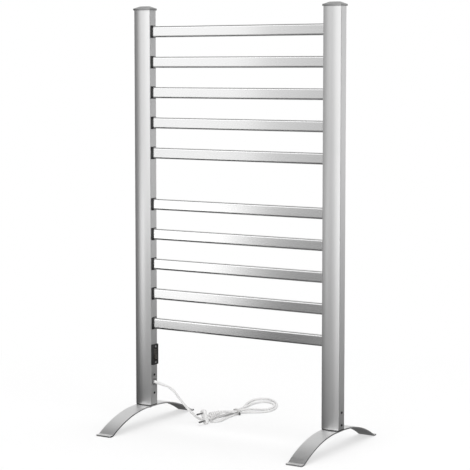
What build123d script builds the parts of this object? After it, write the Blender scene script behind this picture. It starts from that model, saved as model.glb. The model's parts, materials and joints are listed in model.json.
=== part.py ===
from build123d import *
import os
from math import atan2, cos, pi, radians, sin, tan

os.makedirs("parts", exist_ok=True)

# Free-standing electric towel warmer: ten heated bars between two aluminium posts, on two arched strip feet.
# Millimetres, +Z up. The front faces -Y, X runs from the left post to the right one, and the floor is z = 0.
# The switch and the cord are on the left post's inner side.

# --- overall -------------------------------------------------------------------------------------------
height = 950.0            # floor to the top of the caps
post_pitch = 485.0        # between the middles of the two posts
foot_half_length = 168.5  # from the post's middle to a foot's tip

# --- fits ----------------------------------------------------------------------------------------------
play = 0.1                # between parts that slide or snap together
tight = 0.05              # between parts that press on each other
bolt_clear = 0.25         # round a bolt in its hole
cut_past = 10.0           # how far a through cut runs beyond what it cuts

# --- post: a U channel, closed at the front by a bowed cover that snaps into it ------------------------
post_w = 42.0             # across the front
post_front = -12.5        # the front corners' Y
post_back = 12.5          # the back face's Y
post_crown = 3.0          # how far the cover bows out in front of its corners
post_bottom = 45.5
post_top = 941.0
wall = 1.6
seam_w = 1.6              # shadow groove between cover and channel
seam_d = 0.8
back_radius = 1.5         # outer back corners of the channel
cover_edge = 1.45         # thickness of the cover at its long edges
cover_corner = 0.5
leg_t = 1.2               # the cover's snap legs
leg_root = 0.3            # the legs' inner roots stand this far inside the cover
leg_tip = -6.5            # Y where the legs end
barb = 0.6
barb_l = 1.3
rib_h = 0.8               # the channel's ribs that hold the barbs
rib_t = 1.0

# --- bars ----------------------------------------------------------------------------------------------
bar_h = 25.0
bar_d = 12.0
bar_y = 1.0
bar_wall = 1.2
bar_radius = 4.2
bar_bore_corner = 2.0     # the cut-off corners of the bar's bore and of what fills it
bar_reach = 14.0          # how far a bar's end stands inside the post
bar_step = 68.0
upper_group_top = 893.0   # middle of the first bar
lower_group_top = 505.0   # middle of the sixth bar
bars_in_group = 5

# --- bushes and clips at the bars' ends ----------------------------------------------------------------
bush_t = 0.8
bush_flange_t = 1.6
bush_flange_front = -9.3
bush_flange_back = 9.4
bush_flange_h = 27.8
bush_inside = 1.5         # how far the sleeve stands inside the wall
bush_corner = 1.6         # the cut-off corners of sleeve, slot and flange
bush_bore_corner = 2.2    # and of the bore, which the bar's rounded corners clear
clip_t = 1.2
clip_bite = 0.75          # depth of a clip's leg in the bar's notch
clip_h = 31.6
clip_d = 15.6
clip_gap = 0.2            # before the clip, along the bar

# --- heating and wiring --------------------------------------------------------------------------------
element_d = 5.0
element_reach = 238.0     # the elements' ends, inside the posts
spacer_x = 150.0
spacer_t = 6.0
loom_x = post_pitch / 2 + 5
loom_d = 7.0
loom_over = 4.0           # above the first bar's middle
spur_w = 3.0              # a spur is a flat pair of wires
block_w = 22.0            # terminal block
block_d = 16.6
block_low = 186.0
block_high = 212.0
block_shift = 4.0         # from the post's middle, away from the bars
block_ways = 3
block_hole_r = 1.7
block_hole_depth = 6.0
cutout_r = 4.0            # thermal cut-out
cutout_l = 20.0
cutout_chamfer = 1.0

# --- caps and base plugs -------------------------------------------------------------------------------
cap_rim = 4.0
cap_lip = 2.2
cap_step = 0.01           # the dome starts this much inside the rim, so that their edges stay apart
cap_inset = 9.0           # from the post's side to the flat middle of the cap
cap_corner = 2.6
cap_top_corner = 1.2
cap_under_radius = 1.0
cap_roof = 1.0
skirt_depth = 10.0
skirt_wall = 1.8
skirt_side_gap = 0.2
skirt_end_gap = 0.3
plug_flange = 2.0
plug_inset = 0.2
plug_corner = 1.2
plug_block = 16.5         # height of the base plug's block inside the post
plug_front = -10.6
tongue_t = 5.3
tongue_w = 14.0
tongue_y = 2.0
tongue_over = 8.0         # above its top screw

# --- screws and bolts ----------------------------------------------------------------------------------
screw_r = 1.5
screw_hole_r = 1.6
pilot_r = 1.55
pilot_depth = 11.0
base_screw_outer_z = (55.0, 82.0)
base_screw_inner_z = 72.0
base_screw_head = (5.2, 1.2)      # diameter and height
plate_screw_head = (5.0, 1.0)
base_screw_l = 8.0
plate_screw_l = 9.0
clamp_screw_l = 11.0
cross_span = 0.62         # a head's cross recess, as shares of the head's diameter and height
cross_width = 0.14
cross_depth = 0.55
head_chamfer = 0.45
bolt_x = 8.0              # the two foot bolts stand this far each side of the post's middle
bolt_d = 5.0
bolt_head_d = 9.5
bolt_head_h = 2.75
bolt_head_chamfer = 1.3
bolt_past = 1.0           # above the base plug's block
socket_r = 1.5            # hexagon socket, to its flats
socket_depth = 1.8
washer_d = 12.0
washer_t = 1.0
nut_af = 8.0
nut_h = 4.0
nut_sink = 0.2
nut_pocket_over = 0.5
thread_fit = 0.02

# --- feet ----------------------------------------------------------------------------------------------
foot_w = 38.0
foot_t = 3.0
foot_flat = 28.0          # flat saddle under the post
foot_lip = 9.0            # flat tip on the floor
foot_bend = 8.0           # middle radius of the bend above the lip
foot_corner = 2.0

# --- switch on the left post's inner side --------------------------------------------------------------
switch_z = 161.0
plate_h = 47.0
plate_t = 4.0
plate_front = -11.8
plate_back = 11.6
plate_corner = 2.0
plate_edge = 0.8
plate_screw_pitch = 36.5
rocker_r = 13.4           # the rocker's ends are arcs about its pivot
rocker_w = 10.0
rocker_dip = 6.0          # from the pivot to the dip in the rocker's middle
rocker_slope = 7.0        # slope of each half, and half of the travel
rocker_back = 2.6         # from the pivot to the rocker's back
rocker_edge = 0.8
pivot_depth = 2.0         # the pivot lies this far behind the post's side face
pivot_d = 2.4
pivot_play = 0.08
switch_w = 12.6
switch_h = 29.0
switch_depth = 14.0
switch_gap = 0.4          # between the rocker and the opening
well_side_gap = 0.3
well_back = 4.5           # from the pivot to the back of the rocker's well
spade_l = 4.0
spade_t = 0.8
spade_h = 4.8
spade_y = -4.0
spade_z = 7.0             # above and below the switch's middle
switch_lead_r = 0.9
lead_bend_share = 0.9      # a lead's bend takes this much of its first run
switch_lead_xs = (-241.9, -244.6)

# --- cord entry ----------------------------------------------------------------------------------------
cord_d = 5.6
entry_z = 97.7
entry_hole_r = 5.6
entry_bore_r = 3.7
entry_mouth = 1.2         # chamfer of the grommet's mouth
grommet_d = 17.0
grommet_t = 1.8
grommet_edge = 0.9
grommet_neck_r = 5.5
grommet_inner_r = 6.2
grommet_inner_t = 1.4
clamp_screw_z = 114.0
clamp_size = 14.0
clamp_y = 0.8
clamp_gap = 0.8           # between the clamp and the wall
clamp_corner = 1.5
clamp_back = 5.0          # past the middle of the cord
inner_cord_x = -246.0
inner_cord_bend = 9.0
inner_cord_start = 3.0    # behind the wall's outer face, where the relief ends
relief_r = 3.5
relief_length = 22.0
relief_tip_over = 0.35    # the relief's tip stands this much proud of the cord
relief_aim = Vector(0.76, 0.54, -0.36).normalized()

# --- the free cord: middle lines of the lead and the tail, and the tied hank ---------------------------
lead_first_run = 16.0     # straight on from the relief
lead_points = [
    (-180.5, 31.0, 66.5),
    (-164.5, 43.5, 41.5),
    (-148.5, 56.0, 20.0),
    (-134.5, 70.5, 4.8),
    (-127.0, 92.0, 2.9),
    (-125.0, 116.0, 2.9),
    (-123.0, 136.0, 2.9),
    (-119.5, 152.0, 2.9),
]
tail_first_run = 13.0     # straight on from the plug's grip
tail_points = [
    (-110.8, 148.0, 12.5),
    (-110.4, 161.0, 9.6),
    (-110.4, 172.0, 9.2),
]
run_share = 0.45          # of the shorter run, to where an arc begins
hank_height = 11.4
strand_height = 6.2       # where only one layer of cord lies
strand_left = -115.2      # the fold's single layer lies right of here
hank_edge = 2.0
hank_under_grip = 0.5      # free height between the folded hank and the plug's grip
hank_opening = 16.0       # width of the strands round the wide loop
hank_waist = (-111.0, 190.0, 6.5)                                     # circles: X, Y and radius
hank_loop = ((-131.0, 343.0, 24.0), (-95.0, 300.0, 24.0), (-76.0, 234.0, 24.0))
hank_fold = (-111.5, 90.0, 9.0)
tie_y = 180.0
tie_width = 12.0
tie_lift = 1.2            # the tie passes under the bundle, so the cord is this far off the floor there
tie_outside = 17.4
tie_inside = 15.0
tie_foot = 0.1
tie_over = 1.4            # above the hank
tie_corner = 2.4
knot_r = 2.6
knot_place = (-101.0, 177.0, 3.0)

# --- plug: a slim two-pin one that lies on its narrow side, rolled a little ----------------------------
plug_centre = Vector(-121.0, 56.5, 17.2)             # middle of its flange
plug_aim = Vector(0.105, 1.0, 0).normalized()        # from the pins to the cord
plug_roll = 19.0                                     # the flange's top leans to -X
flange_l = 35.3
flange_w = 13.7
flange_t = 9.0
flange_edge = 2.5
pin_d = 4.0
pin_chamfer = 0.5
pin_l = 19.0
pin_pitch = 18.0
pin_root = 3.0            # how deep the pins stand in the flange
grip_l = 58.0             # from the flange to the cord
grip_r = 6.3              # the grip's core at the flange, tapering to the cord
grip_tip_over = 0.3
grip_groove_w = 1.6
grip_groove_d = 1.0
grip_bands = ((16.0, 28.0, 6.8, 2), (32.5, 47.5, 5.6, 3), (53.0, 58.0, 4.0, 1))   # from, to, radius, ribs

# --- worked out from the above -------------------------------------------------------------------------
sides = {"left": -1, "right": 1}
half_w = post_w / 2
side_in = half_w - wall                         # inner face of a side wall, from the post's middle
back_in = post_back - wall
inner_y = post_front + cover_edge               # inner face of the cover at its edges
leg_out = side_in - rib_h - play                # outer faces of the cover's legs
between_legs = 2 * (leg_out - leg_t)
face_x = post_pitch / 2 - half_w                # inner side face of the right post
outer_face_x = post_pitch / 2 + half_w
wall_x = -face_x                                # inner side face of the left post
bar_zs = [upper_group_top - bar_step * i for i in range(bars_in_group)]
bar_zs += [lower_group_top - bar_step * i for i in range(bars_in_group)]
bar_places = [(bar_y, z) for z in bar_zs]
bore_w = bar_d - 2 * bar_wall                    # inside a bar
bore_h = bar_h - 2 * bar_wall
sleeve_w = bar_d + 2 * bush_t
sleeve_h = bar_h + 2 * bush_t
plug_under = post_bottom - plug_flange          # where the base plug meets the foot
plug_top = post_bottom + plug_block
pivot_x = wall_x - pivot_depth
side_view = Plane(origin=(0, 0, 0), x_dir=(1, 0, 0), z_dir=(0, -1, 0))   # local x = X, local y = Z
plate_screw_places = [(0, switch_z + s * plate_screw_pitch / 2) for s in (1, -1)]       # Y and Z
foot_bolt_places = [(s * post_pitch / 2 + t * bolt_x, 0) for s in (-1, 1) for t in (-1, 1)]
relief_root = Vector(wall_x + grommet_t, 0, entry_z)
relief_tip = relief_root + relief_aim * relief_length
grip_end = plug_centre + plug_aim * (flange_t / 2 + grip_l)
lead_route = [tuple(relief_tip), tuple(relief_tip + relief_aim * lead_first_run), *lead_points]
tail_route = [tuple(grip_end), tuple(grip_end + plug_aim * tail_first_run), *tail_points]


def save(builder, label):
    """Names the finished piece and writes it."""
    builder.part.label = label
    export_step(builder.part, f"parts/{label}.step")


def closed_by(points, side):
    """Half an outline, closed by its mirror image about the post's middle."""
    middle = side * post_pitch / 2
    right = [(middle + x, y) for x, y in points]
    left = [(middle - x, y) for x, y in reversed(points)]
    return right + left


def cut_corners(width, length, cut):
    """The points of a rectangle about the origin with its four corners cut off."""
    x, y = width / 2, length / 2
    upper = [(x, y - cut), (x - cut, y), (cut - x, y), (-x, y - cut)]
    lower = [(-x, cut - y), (cut - x, -y), (x - cut, -y), (x, cut - y)]
    return upper + lower


# === posts =============================================================================================
def post_channel(side):
    """The U-shaped extrusion, with the ribs that hold the cover and a slot for each bar."""
    rib_front = leg_tip - barb_l - play
    ledge = inner_y + tight
    seam_back = inner_y + seam_w - tight
    half = [
        (side_in, rib_front), (side_in - rib_h, rib_front), (side_in - rib_h, rib_front - rib_t),
        (side_in, rib_front - rib_t), (side_in, ledge), (half_w - seam_d, ledge),
        (half_w - seam_d, seam_back), (half_w, seam_back), (half_w, post_back),
    ]
    inner_plane = Plane.YZ.offset(side * (face_x + wall / 2))      # in the wall that the bars pass
    outer_plane = Plane.YZ.offset(side * (outer_face_x - wall / 2))
    with BuildPart() as channel:
        with BuildSketch(Plane.XY.offset(post_bottom)):
            with BuildLine():
                outline = closed_by(half, side)
                inner_back = closed_by([(side_in, back_in)], side)
                Polyline(*outline, inner_back[1], inner_back[0], outline[0])
            make_face()
        extrude(amount=post_top - post_bottom)
        back_edges = channel.edges().filter_by(Axis.Z).group_by(Axis.Y)[-1]
        fillet(back_edges, back_radius)
        with BuildSketch(inner_plane):
            with Locations(*bar_places):
                Polygon(*cut_corners(sleeve_w + 2 * play, sleeve_h + 2 * play, bush_corner))
            with Locations((0, base_screw_inner_z)):
                Circle(screw_hole_r)
            if side < 0:
                with Locations((0, switch_z)):
                    Rectangle(switch_w + 4 * play, switch_h + 4 * play)
                with Locations((0, entry_z)):
                    Circle(entry_hole_r)
                with Locations((0, clamp_screw_z), *plate_screw_places):
                    Circle(screw_hole_r)
        extrude(amount=wall, both=True, mode=Mode.SUBTRACT)
        with BuildSketch(outer_plane):
            with Locations(*[(0, z) for z in base_screw_outer_z]):
                Circle(screw_hole_r)
        extrude(amount=wall, both=True, mode=Mode.SUBTRACT)
    return channel


def post_cover(side):
    """The bowed front of a post, with two barbed legs that snap behind the channel's ribs."""
    middle = side * post_pitch / 2
    hook = leg_tip - barb_l
    half = [
        (half_w, post_front), (half_w, inner_y), (leg_out, inner_y), (leg_out, hook), (leg_out + barb, hook),
        (leg_out, leg_tip), (leg_out - leg_t, leg_tip), (leg_out - leg_t, inner_y - leg_root),
    ]
    with BuildPart() as cover:
        with BuildSketch(Plane.XY.offset(post_bottom)):
            with BuildLine():
                right = [(middle + x, y) for x, y in half]
                left = [(middle - x, y) for x, y in half]
                ThreePointArc(left[0], (middle, post_front - post_crown), right[0])
                Polyline(*right)
                ThreePointArc(right[-1], (middle, post_front - post_crown + wall), left[-1])
                Polyline(*reversed(left))
            make_face()
        extrude(amount=post_top - post_bottom)
        upright = cover.edges().filter_by(Axis.Z)
        fillet(upright.filter_by(lambda e: abs(e.center().Y - post_front) < tight), cover_corner)
    return cover


def post_outline(plane, side, grow, radius):
    """The post's outline with its bowed front, grown by an amount, as a private sketch."""
    middle = side * post_pitch / 2
    left, right = middle - half_w - grow, middle + half_w + grow
    front, back = post_front - grow, post_back + grow
    with BuildSketch(plane, mode=Mode.PRIVATE) as outline:
        with BuildLine():
            ThreePointArc((left, front), (middle, front - post_crown), (right, front))
            Polyline((right, front), (right, back), (left, back), (left, front))
        make_face()
        fillet(outline.vertices(), radius)
    return outline.sketch


def post_cap(side):
    """Moulded cap: a rim that overhangs the post, a faceted dome and a hollow skirt inside the post."""
    skirt_w = between_legs - 2 * skirt_side_gap
    skirt_l = 2 * (back_in - skirt_end_gap)
    with BuildPart() as cap:
        add(post_outline(Plane.XY.offset(post_top), side, cap_lip, cap_corner))
        extrude(amount=cap_rim)
        fillet(cap.edges().group_by(Axis.Z)[0], cap_under_radius)
        add(post_outline(Plane.XY.offset(post_top + cap_rim), side, cap_lip - cap_step, cap_corner))
        add(post_outline(Plane.XY.offset(height), side, -cap_inset, cap_top_corner))
        loft(ruled=True)
        with BuildSketch(Plane.XY.offset(post_top)):
            with Locations((side * post_pitch / 2, 0)):
                Rectangle(skirt_w, skirt_l)
        extrude(amount=-skirt_depth)
        with BuildSketch(Plane.XY.offset(post_top - skirt_depth)):
            with Locations((side * post_pitch / 2, 0)):
                Rectangle(skirt_w - 2 * skirt_wall, skirt_l - 2 * skirt_wall)
        extrude(amount=skirt_depth + cap_rim - cap_roof, mode=Mode.SUBTRACT)
    return cap


def base_plug(side):
    """Black moulded plug in the post's foot end, with nut pockets and a tongue for the screws each side."""
    middle = side * post_pitch / 2
    rear_w = 2 * (side_in - play)
    fore_w = between_legs - 2 * skirt_side_gap
    step_y = leg_tip + skirt_end_gap                      # behind the cover's legs
    screw_zs = {side: base_screw_outer_z, -side: (base_screw_inner_z,)}
    with BuildPart() as plug:
        add(post_outline(Plane.XY.offset(plug_under), side, -plug_inset, plug_corner))
        extrude(amount=plug_flange)
        with BuildSketch(Plane.XY.offset(post_bottom)):
            with Locations((middle, step_y)):
                Rectangle(rear_w, back_in - play - step_y, align=(Align.CENTER, Align.MIN))
                Rectangle(fore_w, step_y - plug_front, align=(Align.CENTER, Align.MAX))
        extrude(amount=plug_block)
        for way, zs in screw_zs.items():
            with BuildSketch(Plane.XY.offset(plug_top)):
                with Locations((middle + way * (rear_w - tongue_t) / 2, tongue_y)):
                    Rectangle(tongue_t, tongue_w)
            extrude(amount=max(zs) + tongue_over - plug_top)
        with Locations(*[(middle + s * bolt_x, 0, plug_top) for s in (1, -1)]):
            Hole(bolt_d / 2 + bolt_clear)
        with BuildSketch(Plane.XY.offset(plug_top)):
            with Locations(*[(middle + s * bolt_x, 0) for s in (1, -1)]):
                RegularPolygon(nut_af / 2 + play, 6, major_radius=False)
        extrude(amount=-nut_h - nut_pocket_over, mode=Mode.SUBTRACT)
        for way, zs in screw_zs.items():
            with BuildSketch(Plane.YZ.offset(middle + way * side_in)):
                with Locations(*[(0, z) for z in zs]):
                    Circle(pilot_r)
            extrude(amount=-way * pilot_depth, mode=Mode.SUBTRACT)
    return plug


# === feet ==============================================================================================
def foot(side):
    """A strip bent over a former: flat saddle, two long arcs, a tight bend and a flat lip at each tip."""
    rise = plug_under - foot_t                                     # the strip's middle line climbs this much
    run = foot_half_length - foot_lip - foot_flat / 2
    turn = 2 * atan2(rise, run)
    arch_r = run / sin(turn) - foot_bend
    top = plug_under - foot_t / 2
    with BuildPart() as strip:
        with BuildSketch(Plane.YZ.offset(side * post_pitch / 2 - foot_w / 2)):
            with BuildLine():
                for way in (-1, 1):
                    saddle = (way * foot_flat / 2, top)
                    shoulder, knee = [
                        (saddle[0] + way * arch_r * sin(angle), top - arch_r * (1 - cos(angle)))
                        for angle in (turn / 2, turn)
                    ]
                    heel = (way * (foot_half_length - foot_lip), foot_t / 2)
                    ankle_y = heel[0] - way * foot_bend * sin(turn / 2)
                    ankle = (ankle_y, heel[1] + foot_bend * (1 - cos(turn / 2)))
                    Line((0, top), saddle)
                    ThreePointArc(saddle, shoulder, knee)
                    ThreePointArc(knee, ankle, heel)
                    Line(heel, (way * foot_half_length, foot_t / 2))
            trace(line_width=foot_t)
        extrude(amount=foot_w)
        with Locations(*[(side * post_pitch / 2 + s * bolt_x, 0, plug_under) for s in (1, -1)]):
            Hole(bolt_d / 2 + bolt_clear)
        upright = strip.edges().filter_by(Axis.Z)
        fillet(upright.filter_by(lambda e: abs(e.center().Y) > foot_half_length - tight), foot_corner)
    return strip


def foot_bolts():
    """Four button-head screws, up through the feet into the nuts in the base plugs."""
    seat = plug_under - foot_t - washer_t
    with BuildPart() as bolts:
        with BuildSketch(Plane.XY.offset(seat)):
            with Locations(*foot_bolt_places):
                Circle(bolt_head_d / 2)
        extrude(amount=-bolt_head_h)
        chamfer(bolts.edges().group_by(Axis.Z)[0], bolt_head_chamfer)
        with BuildSketch(Plane.XY.offset(seat - bolt_head_h)):
            with Locations(*foot_bolt_places):
                RegularPolygon(socket_r, 6, major_radius=False)
        extrude(amount=socket_depth, mode=Mode.SUBTRACT)
        with BuildSketch(Plane.XY.offset(seat)):
            with Locations(*foot_bolt_places):
                Circle(bolt_d / 2)
        extrude(amount=plug_top + bolt_past - seat)
    return bolts


def foot_washers():
    """A washer under each foot bolt's head."""
    with BuildPart() as washers:
        with BuildSketch(Plane.XY.offset(plug_under - foot_t)):
            with Locations(*foot_bolt_places):
                Circle(washer_d / 2)
                Circle(bolt_d / 2 + bolt_clear, mode=Mode.SUBTRACT)
        extrude(amount=-washer_t)
    return washers


def foot_nuts():
    """Nuts in the base plugs' pockets, on the foot bolts."""
    with BuildPart() as nuts:
        with BuildSketch(Plane.XY.offset(plug_top - nut_sink)):
            with Locations(*foot_bolt_places):
                RegularPolygon(nut_af / 2, 6, major_radius=False)
                Circle(bolt_d / 2 + thread_fit, mode=Mode.SUBTRACT)
        extrude(amount=-nut_h)
    return nuts


def side_screws(places, head, length):
    """Pan-head screws in the posts' sides. A place is the head's seat and the way it faces along X."""
    head_d, head_h = head
    with BuildPart() as screws:
        for (x, y, z), way in places:
            with BuildSketch(Plane.YZ.offset(x)):
                with Locations((y, z)):
                    Circle(head_d / 2)
            extrude(amount=way * head_h)
            with BuildSketch(Plane.YZ.offset(x)):
                with Locations((y, z)):
                    Circle(screw_r)
            extrude(amount=-way * length)
        tops = [x + way * head_h for (x, _, _), way in places]
        rings = screws.edges().filter_by(GeomType.CIRCLE)
        rims = rings.filter_by(lambda e: any(abs(e.center().X - top) < tight for top in tops))
        chamfer(rims, head_h * head_chamfer)
        for (x, y, z), way in places:
            with BuildSketch(Plane.YZ.offset(x + way * head_h)):
                with Locations((y, z)):
                    Rectangle(head_d * cross_span, head_d * cross_width)
                    Rectangle(head_d * cross_width, head_d * cross_span)
            extrude(amount=-way * head_h * cross_depth, mode=Mode.SUBTRACT)
    return screws


# === bars ==============================================================================================
def bar(z):
    """A rounded rectangular tube with a notch above and below at each end, for the clips."""
    half_l = face_x + bar_reach
    notch_x = face_x + wall + bush_inside + clip_gap + clip_t / 2
    with BuildPart() as tube:
        with BuildSketch(Plane.YZ.offset(-half_l)):
            with Locations((bar_y, z)):
                RectangleRounded(bar_d, bar_h, bar_radius)
                Polygon(*cut_corners(bore_w, bore_h, bar_bore_corner), mode=Mode.SUBTRACT)
        extrude(amount=2 * half_l)
        with Locations(*[(s * notch_x, bar_y, z + t * bar_h / 2) for s in (-1, 1) for t in (-1, 1)]):
            Box(clip_t + play, 2 * bar_d, 2 * clip_bite + play, mode=Mode.SUBTRACT)
    return tube


def bar_bushes(side):
    """Black bushes: a sleeve round each bar in the wall's slot, and a flange against the post's side."""
    flange_d = bush_flange_back - bush_flange_front
    flange_y = (bush_flange_front + bush_flange_back) / 2
    at_wall = Plane.YZ.offset(side * face_x)
    with BuildPart() as bushes:
        with BuildSketch(at_wall):
            with Locations(*[(flange_y, z) for z in bar_zs]):
                Polygon(*cut_corners(flange_d, bush_flange_h, bush_corner))
        extrude(amount=-side * bush_flange_t)
        with BuildSketch(at_wall):
            with Locations(*bar_places):
                Polygon(*cut_corners(sleeve_w, sleeve_h, bush_corner))
        extrude(amount=side * (wall + bush_inside))
        with BuildSketch(at_wall):
            with Locations(*bar_places):
                Polygon(*cut_corners(bar_d + play, bar_h + play, bush_bore_corner))
        extrude(amount=cut_past, both=True, mode=Mode.SUBTRACT)
    return bushes


def bar_clips(side):
    """Spring-steel U clips, pushed on from the front into the bars' notches inside the post."""
    near = face_x + wall + bush_inside + clip_gap
    between = bar_h - 2 * clip_bite
    with BuildPart() as clips:
        with BuildSketch(Plane.YZ.offset(side * near)):
            for z in bar_zs:
                with Locations((leg_tip + 2 * play, z)):
                    Rectangle(clip_d, clip_h, align=(Align.MIN, Align.CENTER))
                with Locations((bar_y - bar_d / 2 - tight, z)):
                    Rectangle(clip_d, between, align=(Align.MIN, Align.CENTER), mode=Mode.SUBTRACT)
        extrude(amount=side * clip_t)
    return clips


# === heating and wiring ================================================================================
def heating_elements():
    """One silicone-covered heating wire along the middle of each bar."""
    with BuildPart() as elements:
        with BuildSketch(Plane.YZ.offset(-element_reach)):
            with Locations(*bar_places):
                Circle(element_d / 2)
        extrude(amount=2 * element_reach)
    return elements


def heater_spacers():
    """Two spacers in each bar, with the heating wire held in an eight-sided hole."""
    with BuildPart() as spacers:
        for s in (-1, 1):
            with BuildSketch(Plane.YZ.offset(s * spacer_x)):
                with Locations(*bar_places):
                    Polygon(*cut_corners(bore_w - 2 * play, bore_h - 2 * play, bar_bore_corner))
                    RegularPolygon(element_d / 2 + tight, 8, major_radius=False, mode=Mode.SUBTRACT)
            extrude(amount=s * spacer_t)
    return spacers


def wiring_loom(side):
    """The bundle that links the bars' heating wires inside a post, with a short spur to each."""
    low = block_high if side < 0 else bar_zs[-1]
    with BuildPart() as loom:
        with BuildSketch(Plane.XY.offset(low)):
            with Locations((side * loom_x, bar_y)):
                Circle(loom_d / 2)
        extrude(amount=bar_zs[0] + loom_over - low)
        with BuildSketch(Plane.YZ.offset(side * element_reach)):
            with Locations(*bar_places):
                Rectangle(spur_w, 2 * spur_w)
        extrude(amount=side * (loom_x - element_reach))
    return loom


def terminal_block():
    """Three-way block on the left post's back wall, with its wire holes and screw wells."""
    middle = -post_pitch / 2 - block_shift
    hole_step = block_w / block_ways
    row_step = (block_high - block_low) / 2
    with BuildPart() as block:
        with Locations((middle, 0, block_low)):
            Box(block_w, block_d, block_high - block_low, align=(Align.CENTER, Align.CENTER, Align.MIN))
        with BuildSketch(Plane.XZ.offset(block_d / 2)):
            with Locations((middle, (block_low + block_high) / 2)):
                with GridLocations(hole_step, row_step, block_ways, 2):
                    Circle(block_hole_r)
        extrude(amount=-block_hole_depth, mode=Mode.SUBTRACT)
    return block


def thermal_cutout():
    """The sealed cut-out that lies against the loom between the two lowest bars."""
    with BuildPart() as cutout:
        with BuildSketch(Plane.XY.offset(bar_zs[-1] + bar_step / 2 - cutout_l / 2)):
            with Locations((-loom_x + loom_d / 2 + cutout_r, bar_y)):
                Circle(cutout_r)
        extrude(amount=cutout_l)
        chamfer(cutout.edges().filter_by(GeomType.CIRCLE), cutout_chamfer)
    return cutout


# === switch ============================================================================================
def switch_plate():
    """Black bezel with the rocker's opening and two screw holes."""
    with BuildPart() as plate:
        with BuildSketch(Plane.YZ.offset(wall_x)):
            with Locations(((plate_front + plate_back) / 2, switch_z)):
                RectangleRounded(plate_back - plate_front, plate_h, plate_corner)
        extrude(amount=plate_t)
        fillet(plate.faces().sort_by(Axis.X)[-1].edges(), plate_edge)
        with BuildSketch(Plane.YZ.offset(wall_x)):
            with Locations((0, switch_z)):
                Rectangle(rocker_w + 2 * switch_gap, 2 * (rocker_r + switch_gap))
            with Locations(*plate_screw_places):
                Circle(screw_hole_r)
        extrude(amount=plate_t, mode=Mode.SUBTRACT)
    return plate


def switch_rocker():
    """The rocker: two slopes that meet in a dip, ends turned about the pivot, and a pivot pin each side.

    Drawn with its two halves even, it is then tipped to its off position, upper half in."""
    dip = pivot_x + rocker_dip
    far = 2 * rocker_r
    lift = far * tan(radians(rocker_slope))
    with BuildPart() as rocker:
        with BuildSketch(side_view):
            with Locations((pivot_x, switch_z)):
                Circle(rocker_r)
            with BuildLine():
                Polyline(
                    (pivot_x - rocker_back, switch_z - far), (dip + lift, switch_z - far), (dip, switch_z),
                    (dip + lift, switch_z + far), (pivot_x - rocker_back, switch_z + far), close=True,
                )
            make_face(mode=Mode.INTERSECT)
        extrude(amount=rocker_w / 2, both=True)
        fillet(rocker.edges().filter_by(Axis.Y).sort_by(Axis.X)[-2:], rocker_edge)
        with BuildSketch(side_view):
            with Locations((pivot_x, switch_z)):
                Circle(pivot_d / 2)
        extrude(amount=switch_w / 2 - 2 * play, both=True)
    tip = Pos(pivot_x, 0, switch_z) * Rotation(0, -rocker_slope, 0) * Pos(-pivot_x, 0, -switch_z)
    with BuildPart() as tipped:
        add(tip * rocker.part)
    return tipped


def switch_body():
    """The switch's housing inside the post: the rocker's well, and the holes that carry its pivot pins."""
    with BuildPart() as body:
        with BuildSketch(Plane.YZ.offset(wall_x)):
            with Locations((0, switch_z)):
                Rectangle(switch_w, switch_h)
        extrude(amount=-switch_depth)
        with BuildSketch(side_view):
            with Locations((pivot_x, switch_z)):
                Circle(rocker_r + switch_gap)
            with Locations((pivot_x - well_back, switch_z)):
                Rectangle(switch_h, 2 * switch_h, align=(Align.MIN, Align.CENTER), mode=Mode.INTERSECT)
        extrude(amount=rocker_w / 2 + well_side_gap, both=True, mode=Mode.SUBTRACT)
        with BuildSketch(side_view):
            with Locations((pivot_x, switch_z)):
                Circle(pivot_d / 2 + pivot_play)
        extrude(amount=cut_past, both=True, mode=Mode.SUBTRACT)
    return body


def switch_terminals():
    """Two brass spade terminals on the back of the switch."""
    with BuildPart() as spades:
        with Locations(*[(wall_x - switch_depth, spade_y, switch_z + s * spade_z) for s in (-1, 1)]):
            Box(spade_l, spade_t, spade_h, align=(Align.MAX, Align.CENTER, Align.CENTER))
    return spades


def tube_along(points, radii, diameter):
    """A round tube along straight runs joined by tangent arcs."""
    with BuildPart() as tube:
        with BuildLine() as path:
            FilletPolyline(*points, radius=radii)
        with BuildSketch(Plane(origin=path.line @ 0, z_dir=path.line % 0)):
            Circle(diameter / 2)
        sweep()
    return tube


def switch_leads():
    """Two wires from the switch's terminals up to the terminal block."""
    start = wall_x - switch_depth - spade_l
    with BuildPart() as leads:
        for x, s in zip(switch_lead_xs, (1, -1)):
            z = switch_z + s * spade_z
            route = [(start, spade_y, z), (x, spade_y, z), (x, spade_y, block_low)]
            add(tube_along(route, lead_bend_share * abs(x - start), 2 * switch_lead_r).part)
    return leads


# === cord entry ========================================================================================
def cord_grommet():
    """Snap-in grommet: a flange outside the wall, a neck in the wall's hole and a smaller flange inside."""
    neck = (wall_x, grommet_neck_r, wall + play)
    inner_flange = (wall_x - wall - play, grommet_inner_r, grommet_inner_t)
    with BuildPart() as grommet:
        with BuildSketch(Plane.YZ.offset(wall_x)):
            with Locations((0, entry_z)):
                Circle(grommet_d / 2)
        extrude(amount=grommet_t)
        fillet(grommet.faces().sort_by(Axis.X)[-1].edges(), grommet_edge)
        for start, radius, depth in (neck, inner_flange):
            with BuildSketch(Plane.YZ.offset(start)):
                with Locations((0, entry_z)):
                    Circle(radius)
            extrude(amount=-depth)
        with BuildSketch(Plane.YZ.offset(wall_x)):
            with Locations((0, entry_z)):
                Circle(entry_bore_r)
        extrude(amount=cut_past, both=True, mode=Mode.SUBTRACT)
        mouth = grommet.edges().filter_by(GeomType.CIRCLE).group_by(Axis.X)[-1].sort_by(SortBy.RADIUS)[0]
        chamfer(mouth, entry_mouth)
    return grommet


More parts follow.
